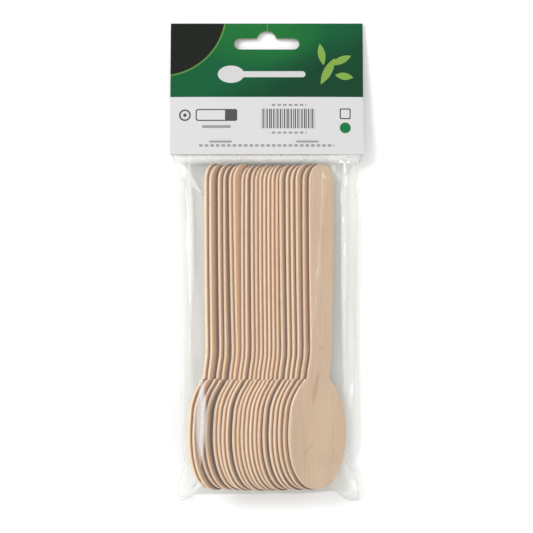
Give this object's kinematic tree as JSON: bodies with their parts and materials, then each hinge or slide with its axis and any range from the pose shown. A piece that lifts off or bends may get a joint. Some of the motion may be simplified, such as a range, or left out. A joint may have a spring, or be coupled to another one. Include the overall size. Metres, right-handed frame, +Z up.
{
  "type": "wooden spoon pack",
  "caption": "Flat wooden spoons leaning in a row in a clear film bag, closed by a folded, stapled header card with a euro hang slot.",
  "frame": {"origin": "under the middle of the pack, on the surface that it lies on", "axes": "+X to the right as the printed front is read, +Y towards the folded top of the header card, +Z up out of the printed front"},
  "size_m": [0.0944, 0.2354, 0.0303],
  "materials": {
    "printed_card": "printed card in green, near-black and pale grey, light satin varnish",
    "clear_film": "clear glossy film with soft wrinkles",
    "staple_wire": "bright drawn wire",
    "birch": "bare sanded veneer, paler at the sawn edges"
  },
  "bodies": {
    "root": {"header_card": "printed_card", "film_bag": "clear_film", "staple_left": "staple_wire", "staple_right": "staple_wire", "spoon_01": "birch", "spoon_02": "birch", "spoon_03": "birch", "spoon_04": "birch", "spoon_05": "birch", "spoon_06": "birch", "spoon_07": "birch", "spoon_08": "birch", "spoon_09": "birch", "spoon_10": "birch", "spoon_11": "birch", "spoon_12": "birch", "spoon_13": "birch", "spoon_14": "birch", "spoon_15": "birch", "spoon_16": "birch", "spoon_17": "birch", "spoon_18": "birch", "spoon_19": "birch", "spoon_20": "birch", "spoon_21": "birch"}
  },
  "joints": []
}
